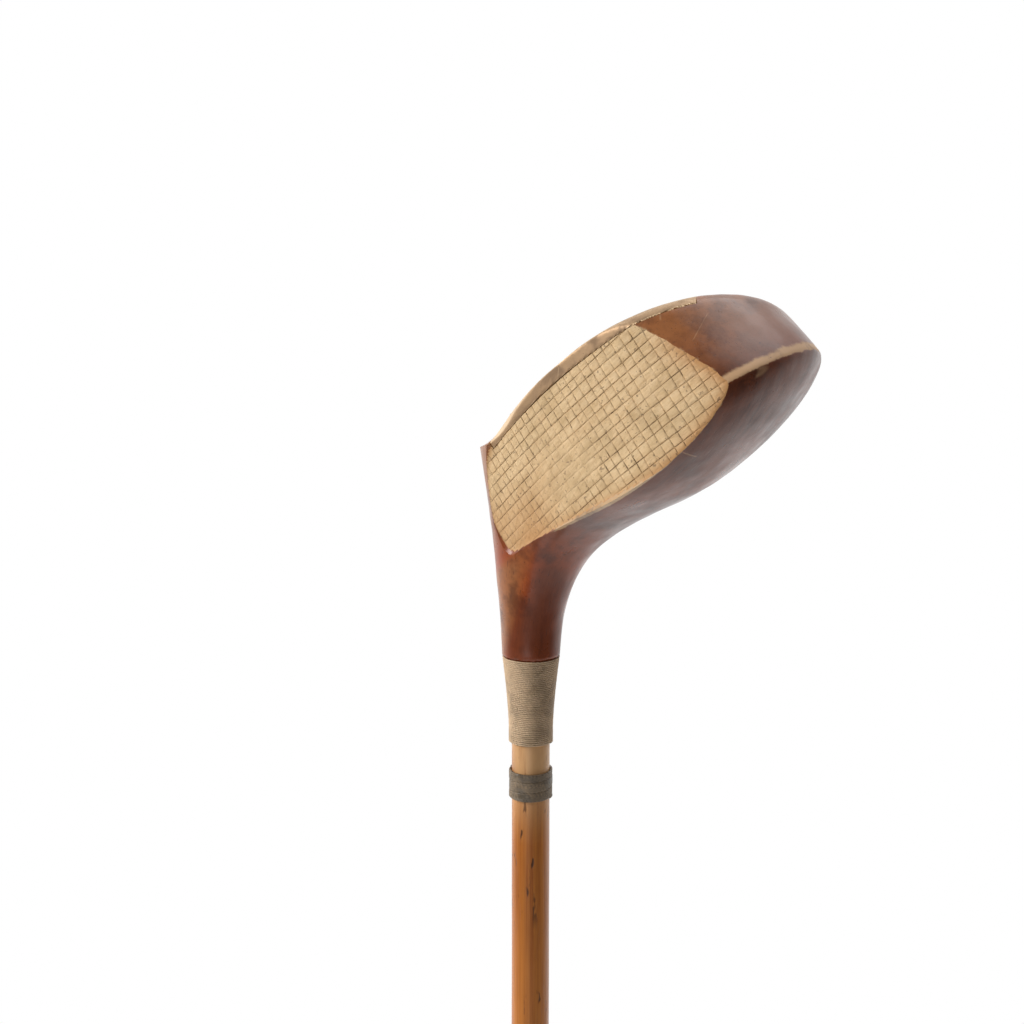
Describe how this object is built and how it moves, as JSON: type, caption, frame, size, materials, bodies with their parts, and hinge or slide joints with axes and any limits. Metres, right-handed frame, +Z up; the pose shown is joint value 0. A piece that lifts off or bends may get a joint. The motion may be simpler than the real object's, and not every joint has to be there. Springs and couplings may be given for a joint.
{
  "type": "golf driver",
  "caption": "Right-handed golf driver with a carved wooden socket head, scored face, brass sole plate, thread whippings, hickory shaft and wound leather grip.",
  "frame": {"origin": "centre of the butt's end face, on the shaft's axis", "axes": "+Z up the shaft toward the head, -Y the way the striking face looks, +X toward the toe"},
  "size_m": [0.1011, 0.0754, 1.1254],
  "materials": {
    "head_wood": "red-brown varnish over close-grained wood, worn at the edges; the striking face is bare straw-coloured wood",
    "hickory": "oiled, satin, straight grain with dark flecks",
    "brass": "dull and tarnished brown, brighter at the edges",
    "screw_brass": "dull and tarnished, slots dark",
    "lead": "dull grey lead, dented",
    "linen": "waxed linen thread, matte",
    "dark_thread": "waxed thread, dirty grey-brown",
    "cloth": "wool listing, matte",
    "leather": "dark brown, handled smooth",
    "black_thread": "pitched thread, near black",
    "tack_brass": "rounded head, worn bright"
  },
  "bodies": {
    "root": {"head": "head_wood", "shaft": "hickory", "sole_plate": "brass", "sole_screw_1": "screw_brass", "sole_screw_2": "screw_brass", "sole_screw_3": "screw_brass", "sole_screw_4": "screw_brass", "sole_screw_5": "screw_brass", "sole_lead": "lead", "back_weight": "lead", "neck_whipping": "linen", "shaft_binding": "dark_thread", "grip_underlisting": "cloth", "grip_leather": "leather", "grip_butt_whipping": "black_thread", "grip_top_whipping": "black_thread", "grip_tack_butt": "tack_brass", "grip_tack_top": "tack_brass"}
  },
  "joints": []
}
